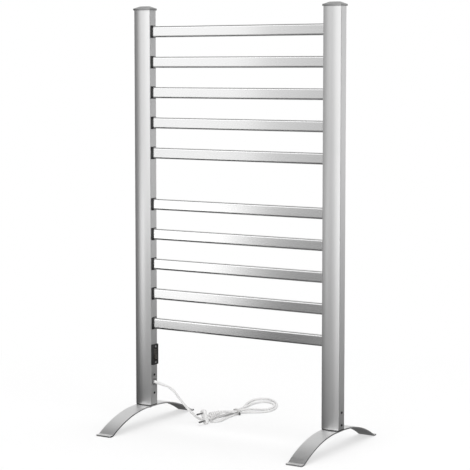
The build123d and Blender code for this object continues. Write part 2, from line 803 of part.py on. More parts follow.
def cord_relief():
    """White tapered relief on the cord where it leaves the grommet, drooping the way the cord goes."""
    with BuildPart() as relief:
        with BuildSketch(Plane.YZ.offset(wall_x - inner_cord_start)):
            with Locations((0, entry_z)):
                Circle(relief_r)
        extrude(amount=inner_cord_start + grommet_t)
        with Locations(relief_root):
            Sphere(relief_r)
        with BuildSketch(Plane(origin=relief_root, z_dir=relief_aim)):
            Circle(relief_r)
        with BuildSketch(Plane(origin=relief_tip, z_dir=relief_aim)):
            Circle(cord_d / 2 + relief_tip_over)
        loft()
    return relief


def cord_clamp():
    """Block that grips the cord inside the post, held by one screw through the wall."""
    near = wall_x - wall - clamp_gap
    far = inner_cord_x - clamp_back
    with BuildPart() as clamp:
        with Locations(((near + far) / 2, clamp_y, clamp_screw_z)):
            Box(near - far, clamp_size, clamp_size)
        fillet(clamp.edges().filter_by(Axis.X), clamp_corner)
        with Locations((inner_cord_x, 0, clamp_screw_z + clamp_size / 2)):
            Hole(cord_d / 2 + tight)
        with BuildSketch(Plane.YZ.offset(near)):
            with Locations((0, clamp_screw_z)):
                Circle(pilot_r)
        extrude(amount=-pilot_depth, mode=Mode.SUBTRACT)
    return clamp


def inner_cord():
    """The cord inside the post: in through the grommet, up through the clamp to the terminal block."""
    route = [
        (wall_x - inner_cord_start, 0, entry_z), (inner_cord_x, 0, entry_z), (inner_cord_x, 0, block_low),
    ]
    return tube_along(route, inner_cord_bend, cord_d - play)


# === the free cord =====================================================================================
def arc_radii(points):
    """For each corner the radius of the largest arc that its two runs allow."""
    radii = []
    for before, corner, after in zip(points, points[1:], points[2:]):
        a, b = Vector(*corner) - Vector(*before), Vector(*after) - Vector(*corner)
        turn = radians(a.get_angle(b))
        radii.append(run_share * min(a.length, b.length) / tan(turn / 2))
    return radii


def free_tube(name, points):
    """A cord's tube. Prints its radii, and its volume beside its section times its length."""
    radii = arc_radii(points)
    tube = tube_along(points, radii, cord_d)
    with BuildLine() as path:
        FilletPolyline(*points, radius=radii)
    length = sum(edge.length for edge in path.edges())
    print(name, "radii", [round(r, 1) for r in radii], "length", round(length, 1))
    print(name, "volume", round(tube.part.volume), "section x length", round(pi * cord_d**2 / 4 * length))
    return tube


def hull_sketch(circles):
    """The outline drawn tight round some circles, each given as X, Y and radius, as a private sketch."""
    with BuildSketch(mode=Mode.PRIVATE) as outline:
        for x, y, r in circles:
            with Locations((x, y)):
                Circle(r)
        make_hull()
    return outline.sketch


def cord_hank():
    """Outer shape of the tied hank: a wide loop behind the tie and a narrow fold in front of it."""
    loop = hull_sketch([hank_waist, *hank_loop])
    fold = hull_sketch([hank_waist, hank_fold])
    trim_w = 40.0                                         # the boxes that trim the fold are wider than it
    trim_l = 200.0
    grip_under = plug_centre.Z - grip_bands[0][2] - hank_under_grip
    with BuildPart() as hank:
        with BuildSketch():
            add(loop)
            offset(loop, amount=-hank_opening, mode=Mode.SUBTRACT)
            add(fold)
        extrude(amount=hank_height)
        chamfer(hank.faces().sort_by(Axis.Z)[-1].edges(), hank_edge)
        with Locations((strand_left, tail_points[-1][1], strand_height)):
            Box(trim_w, trim_l, trim_w, align=(Align.MIN, Align.MAX, Align.MIN), mode=Mode.SUBTRACT)
        with Locations((hank_waist[0], grip_end.Y, grip_under)):
            Box(trim_w, trim_l, trim_w, align=(Align.CENTER, Align.MAX, Align.MIN), mode=Mode.SUBTRACT)
        with Locations((hank_waist[0], tie_y, tie_lift / 2)):
            Box(trim_w, tie_width + 2 * play, tie_lift, mode=Mode.SUBTRACT)
    return hank


def cord_tie():
    """The twist tie round the waist of the hank, with its knot on the right."""
    at_end = Plane.XZ.offset(-tie_y - tie_width / 2)
    with BuildPart() as tie:
        with BuildSketch(at_end):
            with Locations((hank_waist[0], tie_foot)):
                Rectangle(tie_outside, hank_height + tie_over - tie_foot, align=(Align.CENTER, Align.MIN))
        extrude(amount=tie_width)
        fillet(tie.edges().filter_by(Axis.Y), tie_corner)
        with BuildSketch(at_end):
            with Locations((hank_waist[0], tie_lift)):
                Rectangle(tie_inside, hank_height - tie_lift, align=(Align.CENTER, Align.MIN))
        extrude(amount=tie_width, mode=Mode.SUBTRACT)
        with Locations(knot_place):
            Sphere(knot_r)
    return tie


# === plug ==============================================================================================
def plug_plane(along):
    """A plane square to the plug's axis, so far from the flange's middle, x along the flange's length."""
    lean = radians(plug_roll)
    long_way = (-plug_aim.Y * sin(lean), plug_aim.X * sin(lean), cos(lean))
    return Plane(origin=plug_centre + plug_aim * along, x_dir=long_way, z_dir=plug_aim)


def plug_body():
    """The plug's slim moulded flange, with rounded edges."""
    with BuildPart() as body:
        with BuildSketch(plug_plane(-flange_t / 2)):
            SlotOverall(flange_l, flange_w)
        extrude(amount=flange_t)
        flat_edges = body.edges().filter_by(lambda e: abs(e.tangent_at(0.5).dot(plug_aim)) < tight)
        fillet(flat_edges, flange_edge)
        with BuildSketch(plug_plane(-flange_t / 2)):
            with GridLocations(pin_pitch, 0, 2, 1):
                Circle(pin_d / 2)
        extrude(amount=pin_root, mode=Mode.SUBTRACT)
    return body


def plug_pins():
    """Two round pins, set into the flange's front."""
    with BuildPart() as pins:
        with BuildSketch(plug_plane(pin_root - flange_t / 2)):
            with GridLocations(pin_pitch, 0, 2, 1):
                Circle(pin_d / 2)
        extrude(amount=-pin_root - pin_l)
        tips = pins.edges().filter_by(GeomType.CIRCLE).group_by(Axis.Y)[0]
        chamfer(tips, pin_chamfer)
    return pins


def grip_profile():
    """Distance from the flange and radius of the grip's outline: a tapering core with ribbed bands on it."""
    tip_r = cord_d / 2 + grip_tip_over
    points = [(0, grip_r)]
    for start, end, radius, ribs in grip_bands:
        rib_w = (end - start - (ribs - 1) * grip_groove_w) / ribs
        points.append((start, grip_r + (tip_r - grip_r) * start / grip_l))
        for rib in range(ribs):
            left = start + rib * (rib_w + grip_groove_w)
            right = left + rib_w
            points += [(left, radius), (right, radius)]
            if rib < ribs - 1:
                floor = radius - grip_groove_d
                points += [(right, floor), (right + grip_groove_w, floor)]
        points.append((end, grip_r + (tip_r - grip_r) * end / grip_l))
    return points


def plug_grip():
    """The moulded grip behind the flange: ribbed bands on a core that tapers down to the cord."""
    back = plug_centre + plug_aim * (flange_t / 2)
    with BuildPart() as grip:
        with BuildSketch(Plane(origin=back, x_dir=plug_aim, z_dir=(0, 0, 1))):
            with BuildLine():
                Polyline((0, 0), *grip_profile(), (grip_l, 0), close=True)
            make_face()
        revolve(axis=Axis(back, plug_aim))
    return grip


# === make everything ===================================================================================
for name, side in sides.items():
    save(post_channel(side), f"{name}_post")
    save(post_cover(side), f"{name}_post_cover")
    save(post_cap(side), f"{name}_post_cap")
    save(base_plug(side), f"{name}_base_plug")
    save(foot(side), f"{name}_foot")
    save(bar_bushes(side), f"{name}_bar_bushes")
    save(bar_clips(side), f"{name}_bar_clips")
    save(wiring_loom(side), f"{name}_wiring_loom")
for number, z in enumerate(bar_zs, 1):
    save(bar(z), f"bar_{number:02d}")
save(heating_elements(), "heating_elements")
save(heater_spacers(), "heater_spacers")
save(terminal_block(), "terminal_block")
save(thermal_cutout(), "thermal_cutout")
save(foot_bolts(), "foot_bolts")
save(foot_washers(), "foot_washers")
save(foot_nuts(), "foot_nuts")

base_places = [((s * outer_face_x, 0, z), s) for s in (-1, 1) for z in base_screw_outer_z]
base_places += [((s * face_x, 0, base_screw_inner_z), -s) for s in (-1, 1)]
plate_places = [((wall_x + plate_t, y, z), 1) for y, z in plate_screw_places]
clamp_places = [((wall_x, 0, clamp_screw_z), 1)]
save(side_screws(base_places, base_screw_head, base_screw_l), "base_plug_screws")
save(side_screws(plate_places, plate_screw_head, plate_screw_l), "switch_screws")
save(side_screws(clamp_places, base_screw_head, clamp_screw_l), "cord_clamp_screw")
save(switch_plate(), "switch_plate")
save(switch_body(), "switch_body")
save(switch_rocker(), "switch_rocker")
save(switch_terminals(), "switch_terminals")
save(switch_leads(), "switch_leads")
save(cord_grommet(), "cord_grommet")
save(cord_relief(), "cord_relief")
save(cord_clamp(), "cord_clamp")
save(inner_cord(), "inner_cord")
save(free_tube("lead", lead_route), "cord_lead")
save(free_tube("tail", tail_route), "cord_tail")
save(cord_hank(), "cord_hank")
save(cord_tie(), "cord_tie")
save(plug_body(), "plug_body")
save(plug_pins(), "plug_pins")
save(plug_grip(), "plug_grip")
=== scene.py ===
"""Towel warmer rack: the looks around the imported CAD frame.

The cord, its tie and the plug's grip are set out in millimetres, as the CAD is, and MM takes them to
metres. Everything else is in metres.
"""
import json
from math import cos, pi, radians, sin

import bpy
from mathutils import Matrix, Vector


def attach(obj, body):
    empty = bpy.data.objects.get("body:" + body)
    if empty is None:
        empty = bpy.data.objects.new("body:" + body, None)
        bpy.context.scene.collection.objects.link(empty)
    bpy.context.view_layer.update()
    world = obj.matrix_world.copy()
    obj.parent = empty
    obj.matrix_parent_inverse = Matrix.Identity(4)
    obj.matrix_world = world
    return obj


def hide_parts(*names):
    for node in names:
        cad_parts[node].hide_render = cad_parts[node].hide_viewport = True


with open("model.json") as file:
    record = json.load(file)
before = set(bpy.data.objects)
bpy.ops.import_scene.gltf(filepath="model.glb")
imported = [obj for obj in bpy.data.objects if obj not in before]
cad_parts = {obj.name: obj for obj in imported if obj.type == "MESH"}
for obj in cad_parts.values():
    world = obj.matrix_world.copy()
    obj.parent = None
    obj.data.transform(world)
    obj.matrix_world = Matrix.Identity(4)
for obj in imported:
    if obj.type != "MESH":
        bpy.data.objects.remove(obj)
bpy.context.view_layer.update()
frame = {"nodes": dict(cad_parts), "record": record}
SCENE = bpy.context.scene
NODES = frame["nodes"]
MM = 0.001
UP = Vector((0.0, 0.0, 1.0))


# ---------------------------------------------------------------- camera and view

camera_data = bpy.data.cameras.new("camera")
camera_data.sensor_width = 36.0
camera_data.lens = 120.93
camera_data.shift_y = -0.0702
camera = bpy.data.objects.new("camera", camera_data)
camera.location = (1.8248, -2.9229, 0.80934)
camera.rotation_euler = (radians(85.193), 0.0, radians(32.031))
SCENE.collection.objects.link(camera)
SCENE.camera = camera
SCENE.view_settings.view_transform = "Standard"


# ---------------------------------------------------------------- the cord's line

CORD_DIAMETER = 0.0056

RELIEF_ROOT = Vector((-219.7, 0.0, 97.7))
RELIEF_AIM = Vector((0.76, 0.54, -0.36)).normalized()
RELIEF_LENGTH = 22.0
RELIEF_RUN_ON = 12.0

PLUG_CENTRE = Vector((-121.0, 56.5, 17.2))
PLUG_AIM = Vector((0.105, 1.0, 0.0)).normalized()
FLANGE_THICK = 9.0
GRIP_LENGTH = 58.0
GRIP_RUN_ON = 13.0
GRIP_END = PLUG_CENTRE + PLUG_AIM * (FLANGE_THICK / 2 + GRIP_LENGTH)

# The hank's four strands under its tie: two below, two above.
TIED_LEFT = -114.1
TIED_RIGHT = -107.9
TIED_LEFT_ABOVE = TIED_LEFT - 0.2
TIED_FRONT = 173.0
TIED_BACK = 190.0

# Heights of the cord's middle: on the floor, in the tie's lower and upper pairs, and at the fold's end.
FLOOR_Z = 2.9
LOWER_Z = 4.1
UPPER_Z = 9.8
FOLD_END_Z = 8.4

# The share of a turn beside the tie, at each end, that has no points of its own.
TURN_MARGIN = 0.08


def ease(x):
    """0 to 1, level at both ends."""
    x = min(max(x, 0.0), 1.0)
    return x * x * (3.0 - 2.0 * x)


def settle(z_start, z_end, share):
    """Height along a turn that comes down from the tie to the floor and climbs back to the tie."""
    return lambda t: (
        FLOOR_Z
        + (z_start - FLOOR_Z) * (1.0 - ease(t / share))
        + (z_end - FLOOR_Z) * (1.0 - ease((1.0 - t) / share))
    )


def climb(z_end, start, share):
    """Height along a turn that lies on the floor up to its start share, then climbs to z_end."""
    return lambda t: FLOOR_Z + (z_end - FLOOR_Z) * ease((t - start) / share)


def hank_turn(start_x, end_x, y, reach, swell, pinch, sharpness, count, height):
    """Control points of one turn that leaves the tie at start_x and comes back to it at end_x.

    Each of reach, swell and pinch is a size sideways and a size along the hank. Reach takes the turn out
    and back, swell moves its two halves apart, and pinch moves its middle against its ends.
    """
    points = []
    for i in range(count):
        t = TURN_MARGIN + (1.0 - 2.0 * TURN_MARGIN) * i / (count - 1)
        s = sin(pi * t)
        side = s ** sharpness
        shape = [
            reach[k] * s + (swell[k] * sin(2 * pi * t) + pinch[k] * sin(3 * pi * t)) * side
            for k in (0, 1)
        ]
        x = start_x + (end_x - start_x) * t + shape[0]
        points.append(Vector((x, y + shape[1], height(t))))
    return points


lead = [
    RELIEF_ROOT,
    RELIEF_ROOT + RELIEF_AIM * RELIEF_LENGTH,
    RELIEF_ROOT + RELIEF_AIM * (RELIEF_LENGTH + RELIEF_RUN_ON),
    Vector((-183.6, 27.0, 74.5)),
    Vector((-176.0, 34.5, 58.2)),
    Vector((-164.0, 43.0, 38.6)),
    Vector((-152.0, 52.5, 22.6)),
    Vector((-145.0, 63.0, 10.4)),
    Vector((-137.4, 76.0, 3.8)),
    Vector((-130.5, 94.0, FLOOR_Z)),
    Vector((-130.0, 114.0, FLOOR_Z)),
    Vector((-127.0, 136.0, FLOOR_Z)),
    Vector((-120.0, 156.0, FLOOR_Z)),
    Vector((TIED_LEFT, TIED_FRONT, LOWER_Z)),
    Vector((TIED_LEFT, TIED_BACK, LOWER_Z)),
]
outer_turn = hank_turn(
    TIED_LEFT, TIED_RIGHT, TIED_BACK,
    reach=(2.5, 142.4), swell=(-54.3, 43.2), pinch=(1.4, -15.3), sharpness=0.43, count=16,
    height=settle(LOWER_Z, LOWER_Z, share=0.12),
)
fold = hank_turn(
    TIED_RIGHT, TIED_LEFT, TIED_FRONT,
    reach=(-3.3, -93.4), swell=(15.4, -5.5), pinch=(3.3, 1.0), sharpness=2.0, count=13,
    height=climb(FOLD_END_Z, start=0.6, share=0.28),
)
inner_turn = hank_turn(
    TIED_LEFT_ABOVE, TIED_RIGHT, TIED_BACK,
    reach=(8.7, 122.4), swell=(-40.1, 22.3), pinch=(0.6, -13.9), sharpness=0.87, count=16,
    height=settle(UPPER_Z, UPPER_Z, share=0.28),
)
tail = [
    Vector((TIED_RIGHT, TIED_BACK, UPPER_Z)),
    Vector((TIED_RIGHT, TIED_FRONT, UPPER_Z)),
    Vector((-107.6, 162.0, 10.2)),
    Vector((-108.6, 148.0, 12.8)),
    GRIP_END + PLUG_AIM * GRIP_RUN_ON,
    GRIP_END,
]
cord_line = (
    lead
    + outer_turn
    + [Vector((TIED_RIGHT, TIED_BACK, LOWER_Z)), Vector((TIED_RIGHT, TIED_FRONT, LOWER_Z))]
    + fold
    + [Vector((TIED_LEFT_ABOVE, TIED_FRONT, UPPER_Z)), Vector((TIED_LEFT_ABOVE, TIED_BACK, UPPER_Z))]
    + inner_turn
    + tail
)


# ---------------------------------------------------------------- materials

class Tree:
    """A node tree, with short ways to add and join its nodes."""

    def __init__(self, tree):
        self.tree = tree

    def add(self, kind, **values):
        """A node, with the values of its inputs by name."""
        node = self.tree.nodes.new(kind)
        for name, value in values.items():
            node.inputs[name.replace("_", " ")].default_value = value
        return node

    def join(self, output, socket):
        """A link from an output to an input."""
        self.tree.links.new(output, socket)

    def math(self, operation, *values):
        """The result of a sum on values that are numbers or outputs."""
        node = self.add("ShaderNodeMath")
        node.operation = operation
        for socket, value in zip(node.inputs, values):
            if isinstance(value, float):
                socket.default_value = value
            else:
                self.join(value, socket)
        return node.outputs[0]

    def mix(self, factor, first, second):
        """A colour between two others, each an output or red, green and blue."""
        node = self.add("ShaderNodeMix")
        node.data_type = "RGBA"
        ends = [socket for socket in node.inputs if socket.type == "RGBA"]
        for socket, colour in zip(ends, (first, second)):
            if isinstance(colour, tuple):
                socket.default_value = (*colour, 1.0)
            else:
                self.join(colour, socket)
        self.join(factor, node.inputs["Factor"])
        return [socket for socket in node.outputs if socket.type == "RGBA"][0]

    def choose(self, factor, first, second):
        """The first shader where the factor is 0 and the second where it is 1."""
        node = self.add("ShaderNodeMixShader")
        self.join(factor, node.inputs[0])
        self.join(first.outputs[0], node.inputs[1])
        self.join(second.outputs[0], node.inputs[2])
        return node


# The range that nearly all noise falls in.
NOISE_LOW = 0.25
NOISE_HIGH = 0.75


class Shader(Tree):
    """A material on a principled shader, placed by the object's own coordinates."""

    def __init__(self, name):
        self.material = bpy.data.materials.new(name)
        self.material.use_nodes = True
        super().__init__(self.material.node_tree)
        self.bsdf = self.tree.nodes["Principled BSDF"]
        self.place = self.add("ShaderNodeTexCoord").outputs["Object"]

    def noise(self, stretch, detail=2.0, roughness=0.5):
        """Noise with so many spots a metre along X, Y and Z."""
        mapping = self.add("ShaderNodeMapping", Scale=stretch)
        self.join(self.place, mapping.inputs["Vector"])
        node = self.add("ShaderNodeTexNoise", Scale=1.0, Detail=detail, Roughness=roughness)
        self.join(mapping.outputs["Vector"], node.inputs["Vector"])
        return node.outputs["Fac"]

    def spread(self, factor, low, high):
        """Noise taken to the range from low to high."""
        node = self.add(
            "ShaderNodeMapRange", From_Min=NOISE_LOW, From_Max=NOISE_HIGH, To_Min=low, To_Max=high
        )
        self.join(factor, node.inputs["Value"])
        return node.outputs["Result"]

    def bump(self, height, distance):
        """Relief from a height between 0 and 1, so many metres deep."""
        node = self.add("ShaderNodeBump", Strength=1.0, Distance=distance)
        self.join(height, node.inputs["Height"])
        self.join(node.outputs["Normal"], self.bsdf.inputs["Normal"])


def grey(level, warmth=0.0):
    """A near-neutral colour, a little warmer or colder."""
    return (level * (1.0 + warmth), level, level * (1.0 - warmth))


# Spots of noise a metre: lines drawn along one axis, metal worked all round, and slow changes of tone.
ALONG_X = (3.0, 1400.0, 1400.0)
ALONG_Y = (1400.0, 3.0, 1400.0)
ALONG_Z = (1400.0, 1400.0, 3.0)
TURNED = (2200.0, 2200.0, 2200.0)
METAL_PATCHES = (9.0, 9.0, 5.0)
PLASTIC_PATCHES = (40.0, 40.0, 40.0)

# How much of a metal's tone comes from its drawn lines, the rest being its patches.
LINE_SHARE = 0.65

# How much smoother and rougher than its roughness a plastic gets in places.
SMOOTHER = 0.04
ROUGHER = 0.05


def brushed_metal(name, level, rough, grain, depth, contrast=0.06, warmth=0.0, uneven=0.05):
    """Satin metal: fine drawn lines along the axis where grain is small, and slow changes of tone."""
    shader = Shader(name)
    shader.bsdf.inputs["Metallic"].default_value = 1.0
    lines = shader.noise(grain, detail=3.0, roughness=0.6)
    patches = shader.math("MULTIPLY", shader.noise(METAL_PATCHES), 1.0 - LINE_SHARE)
    tone = shader.math("MULTIPLY_ADD", lines, LINE_SHARE, patches)
    colour = shader.mix(
        shader.spread(tone, 0.0, 1.0),
        grey(level * (1.0 - contrast), warmth),
        grey(level * (1.0 + contrast), warmth),
    )
    shader.join(colour, shader.bsdf.inputs["Base Color"])
    shader.join(shader.spread(lines, rough - uneven, rough + uneven), shader.bsdf.inputs["Roughness"])
    shader.bump(lines, depth)
    return shader.material


def moulded_plastic(name, dark, light, rough, grain, depth, coat=0.0, metal=0.0):
    """Moulded plastic: spark-eroded grain, slight colour drift, uneven gloss; silver paint with metal."""
    shader = Shader(name)
    fine = shader.noise((grain, grain, grain))
    broad = shader.noise(PLASTIC_PATCHES, detail=3.0)
    shader.join(shader.mix(shader.spread(broad, 0.0, 1.0), dark, light), shader.bsdf.inputs["Base Color"])
    shader.join(shader.spread(broad, rough - SMOOTHER, rough + ROUGHER), shader.bsdf.inputs["Roughness"])
    shader.bsdf.inputs["Coat Weight"].default_value = coat
    shader.bsdf.inputs["Metallic"].default_value = metal
    shader.bump(fine, depth)
    return shader.material


# A metal's numbers are its level, roughness, grain and the depth of its lines. A plastic's are its two
# colours, roughness, spots of grain a metre and their depth.
MATERIALS = {
    "post_aluminium": brushed_metal("satin_post", 0.88, 0.34, ALONG_Z, 0.00002),
    "bar_aluminium": brushed_metal(
        "satin_bar", 0.92, 0.20, ALONG_X, 0.000005, contrast=0.03, uneven=0.02
    ),
    "foot_aluminium": brushed_metal("brushed_foot", 0.80, 0.36, ALONG_Y, 0.00004, contrast=0.10),
    "cap_plastic": moulded_plastic(
        "cap_plastic", grey(0.33), grey(0.39), 0.34, 1600.0, 0.00003, metal=0.8
    ),
    "black_plastic": moulded_plastic(
        "black_plastic", grey(0.012), grey(0.020), 0.45, 1800.0, 0.00004
    ),
    "grey_plastic": moulded_plastic("grey_plastic", grey(0.13), grey(0.17), 0.45, 1800.0, 0.00004),
    "rocker_plastic": moulded_plastic(
        "rocker_plastic", grey(0.034, 0.12), grey(0.048, 0.12), 0.28, 1500.0, 0.00002, coat=0.2
    ),
    "steel": brushed_metal("zinc_steel", 0.66, 0.28, TURNED, 0.00001, contrast=0.08),
    "black_steel": brushed_metal("blackened_steel", 0.06, 0.38, TURNED, 0.00001, contrast=0.15),
    "brass": brushed_metal("brass", 0.60, 0.30, TURNED, 0.00001, contrast=0.08, warmth=0.35),
    "silicone": moulded_plastic(
        "silicone", (0.36, 0.09, 0.06), (0.46, 0.12, 0.08), 0.5, 900.0, 0.00003
    ),
    "wire_sleeve": moulded_plastic(
        "wire_sleeve", grey(0.58, 0.02), grey(0.70, 0.02), 0.6, 2600.0, 0.0001
    ),
    "terminal_plastic": moulded_plastic(
        "terminal_plastic", grey(0.62, 0.06), grey(0.70, 0.06), 0.45, 1400.0, 0.00003
    ),
    "cord_pvc": moulded_plastic(
        "cord_pvc", grey(0.78, 0.005), grey(0.84, 0.005), 0.34, 900.0, 0.00004, coat=0.15
    ),
    "plug_pvc": moulded_plastic(
        "plug_pvc", grey(0.80, 0.005), grey(0.86, 0.005), 0.30, 1500.0, 0.00003, coat=0.2
    ),
    # The pins' plated metal is darkened to 0.28 as painted shade, for the shade the pins stand in.
    "plug_pins": brushed_metal("plated_pin_painted_shade", 0.28, 0.30, TURNED, 0.00001, contrast=0.1),
    "tie": moulded_plastic("tie_plastic", grey(0.74, 0.01), grey(0.80, 0.01), 0.38, 1200.0, 0.00003),
}
DARK_TIE = moulded_plastic("tie_ends", grey(0.13), grey(0.19), 0.4, 1200.0, 0.00003)

for part in frame["record"]["subparts"]:
    finish = MATERIALS[part["material_slot"]]
    for material_slot in NODES[part["node"]].material_slots:
        material_slot.material = finish


# ---------------------------------------------------------------- ways to make a piece

def nurbs_tube(name, line, diameter, material, smoothness=8):
    """A round tube along one open NURBS spline: its line in millimetres, its diameter in metres."""
    data = bpy.data.curves.new(name, "CURVE")
    data.dimensions = "3D"
    data.resolution_u = smoothness
    data.bevel_depth = diameter / 2
    data.bevel_resolution = 5
    data.use_fill_caps = True
    spline = data.splines.new("NURBS")
    spline.points.add(len(line) - 1)
    for point, place in zip(spline.points, line):
        point.co = (place[0] * MM, place[1] * MM, place[2] * MM, 1.0)
    spline.order_u = 3
    spline.use_endpoint_u = True
    data.materials.append(material)
    tube = bpy.data.objects.new(name, data)
    SCENE.collection.objects.link(tube)
    return tube


def round_axis(aim, angle, radius):
    """A step square to the axis, in the direction at an angle round it."""
    side = aim.cross(UP).normalized()
    top = side.cross(aim)
    return (side * cos(angle) + top * sin(angle)) * radius


def ringed_body(name, rings, material):
    """A closed body through rings of as many points each, in metres."""
    sides = len(rings[0])
    last = (len(rings) - 1) * sides
    faces = [
        (i + k, i + (k + 1) % sides, i + sides + (k + 1) % sides, i + sides + k)
        for i in range(0, last, sides)
        for k in range(sides)
    ]
    faces.append(tuple(reversed(range(sides))))
    faces.append(tuple(range(last, last + sides)))
    mesh = bpy.data.meshes.new(name)
    mesh.from_pydata([point for ring in rings for point in ring], [], faces)
    mesh.shade_smooth()
    mesh.materials.append(material)
    body = bpy.data.objects.new(name, mesh)
    SCENE.collection.objects.link(body)
    return body


# ---------------------------------------------------------------- the cord and its tie

cord = nurbs_tube("cord", cord_line, CORD_DIAMETER, MATERIALS["cord_pvc"])
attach(cord, "rack")
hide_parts("cord_lead", "cord_tail", "cord_hank")

STRAP_WIDTH = 4.4
STRAP_THICK = 1.1
STRAP_PITCH = 5.4
STRAP_WRAPS = 2
STRAP_START = -0.125
STRAP_STEPS = 36
# Outward and along the strands, in half thicknesses and half widths. The hump is where the wire runs.
STRAP_SECTION = (
    (-0.5, -1.0), (0.0, -1.1), (0.5, -1.0), (1.0, -0.4), (1.3, 0.0), (1.0, 0.4), (0.5, 1.0), (0.0, 1.1),
    (-0.5, 1.0), (-1.0, 0.0),
)
TIE_CENTRE = Vector(((TIED_LEFT + TIED_RIGHT) / 2, 174.6, 7.4))
TIE_HALF_WIDTH = 7.1
TIE_HALF_HEIGHT = 6.6
TIE_SQUARENESS = 0.45


def squared(value):
    """A sine or cosine drawn towards -1 and 1, which makes a circle squarer."""
    return abs(value) ** TIE_SQUARENESS * (1 if value >= 0 else -1)


def tie_point(turns, outward, along):
    """A point of the strap: so many turns round the strands, outward from its middle and along them."""
    angle = 2 * pi * turns
    return (
        (TIE_CENTRE.x + (TIE_HALF_WIDTH + outward) * squared(cos(angle))) * MM,
        (TIE_CENTRE.y + STRAP_PITCH * turns + along) * MM,
        (TIE_CENTRE.z + (TIE_HALF_HEIGHT + outward) * squared(sin(angle))) * MM,
    )


def strap_ring(turns):
    """The strap's section, so many turns round the strands."""
    return [
        tie_point(turns, outward * STRAP_THICK / 2, along * STRAP_WIDTH / 2)
        for outward, along in STRAP_SECTION
    ]


tie = ringed_body(
    "tie_strap",
    [strap_ring(i / STRAP_STEPS + STRAP_START) for i in range(STRAP_WRAPS * STRAP_STEPS + 1)],
    MATERIALS["tie"],
)
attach(tie, "rack")
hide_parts("cord_tie")

KNOT_ROOT = Vector((-103.0, 178.5, 4.8))
KNOT_AIM = Vector((0.55, -0.70, -0.22)).normalized()
KNOT_LENGTH = 7.0
KNOT_TWISTS = 1.5
KNOT_STEPS = 16
KNOT_WIRE = 2.6


def knot_end(name, phase):
    """One of the strap's two ends, twisted round the other."""
    line = []
    for i in range(KNOT_STEPS + 1):
        angle = 2 * pi * (KNOT_TWISTS * i / KNOT_STEPS + phase)
        middle = KNOT_ROOT + KNOT_AIM * (KNOT_LENGTH * i / KNOT_STEPS)
        line.append(middle + round_axis(KNOT_AIM, angle, KNOT_WIRE / 2))
    end = nurbs_tube(name, line, KNOT_WIRE * MM, DARK_TIE, smoothness=4)
    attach(end, "rack")
    return end


knot = [knot_end("tie_end_1", 0.0), knot_end("tie_end_2", 0.5)]


# ---------------------------------------------------------------- the plug's grip

# Where each band starts and ends behind the flange, its radius and its ribs.
GRIP_BANDS = ((16.0, 28.0, 6.8, 2), (32.5, 47.5, 5.6, 3), (53.0, GRIP_LENGTH, 4.0, 1))
GRIP_CORE = 3.3
GROOVE_WIDTH = 1.8
GROOVE_DEPTH = 2.0
RIB_ROUND = 0.5
GRIP_SIDES = 48
GRIP_SHARP = radians(40.0)


def grip_outline():
    """Distance behind the flange and radius along the grip: ribbed bands on a thin bendy core."""
    outline = [(0.0, GRIP_CORE)]
    for start, end, radius, ribs in GRIP_BANDS:
        rib_width = (end - start - (ribs - 1) * GROOVE_WIDTH) / ribs
        groove = max(radius - GROOVE_DEPTH, GRIP_CORE)
        outline.append((start, GRIP_CORE))
        for rib in range(ribs):
            left = start + rib * (rib_width + GROOVE_WIDTH)
            right = left + rib_width
            outline += [
                (left, groove if rib else GRIP_CORE),
                (left, radius - RIB_ROUND),
                (left + RIB_ROUND, radius),
                (right - RIB_ROUND, radius),
                (right, radius - RIB_ROUND),
                (right, groove if rib < ribs - 1 else GRIP_CORE),
            ]
    return outline


def grip_ring(distance, radius):
    """A circle round the plug's axis, so far behind the flange."""
    middle = PLUG_CENTRE + PLUG_AIM * (FLANGE_THICK / 2) + PLUG_AIM * distance
    angles = [2 * pi * k / GRIP_SIDES for k in range(GRIP_SIDES)]
    return [(middle + round_axis(PLUG_AIM, angle, radius)) * MM for angle in angles]


grip = ringed_body(
    "segmented_grip", [grip_ring(*place) for place in grip_outline()], MATERIALS["plug_pvc"]
)
grip.data.set_sharp_from_angle(angle=GRIP_SHARP)
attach(grip, "rack")
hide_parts("plug_grip")


# ---------------------------------------------------------------- the studio that metal reflects

# Brightness round the object: degrees from straight ahead (-Y) towards +X, and level. The part behind
# the object has one list for the world, above the horizon, and one for the floor, below it.
AROUND = (
    (-180, 0.80), (-150, 1.00), (-125, 0.90), (-108, 0.50), (-86, 0.36), (-70, 0.10), (-62, 0.09),
    (-50, 0.22), (-42, 0.50), (-36, 0.96), (-30.5, 0.90), (-28, 0.38), (-25, 0.38), (-20, 0.80),
    (-10, 1.10), (0, 1.20), (12, 1.25), (30, 1.05), (45, 0.95), (80, 0.90),
)
WALL_BEHIND = ((115, 0.40), (130, 0.05), (148, 0.05), (151, 1.00), (158, 1.20), (180, 0.80))
FLOOR_BEHIND = (
    (118, 1.00), (137, 1.30), (142, 1.20), (145, 0.42), (148.5, 0.42), (150.5, 1.05), (157, 1.10),
    (180, 0.80),
)
# Brightness overhead: how far back the direction points, and level.
OVERHEAD = (
    (-1.0, 1.20), (-0.65, 1.30), (-0.5, 0.35), (-0.3, 0.12), (0.15, 0.15), (0.4, 0.90), (0.7, 0.70),
    (1.0, 0.60),
)
# How far up the direction points where the light overhead starts, and where it is all there is.
OVERHEAD_FROM = 0.12
OVERHEAD_TO = 0.45


def ramp(tree, value, start, stop, stops):
    """Grey levels at stops between start and stop, as a value runs from one to the other."""
    scale = tree.add("ShaderNodeMapRange", From_Min=start, From_Max=stop)
    tree.join(value, scale.inputs["Value"])
    node = tree.add("ShaderNodeValToRGB")
    elements = node.color_ramp.elements
    while len(elements) < len(stops):
        elements.new(0.5)
    for element, (where, level) in zip(elements, stops):
        element.position = (where - start) / (stop - start)
        element.color = (level, level, level, 1.0)
    tree.join(scale.outputs["Result"], node.inputs["Fac"])
    return node.outputs["Color"]


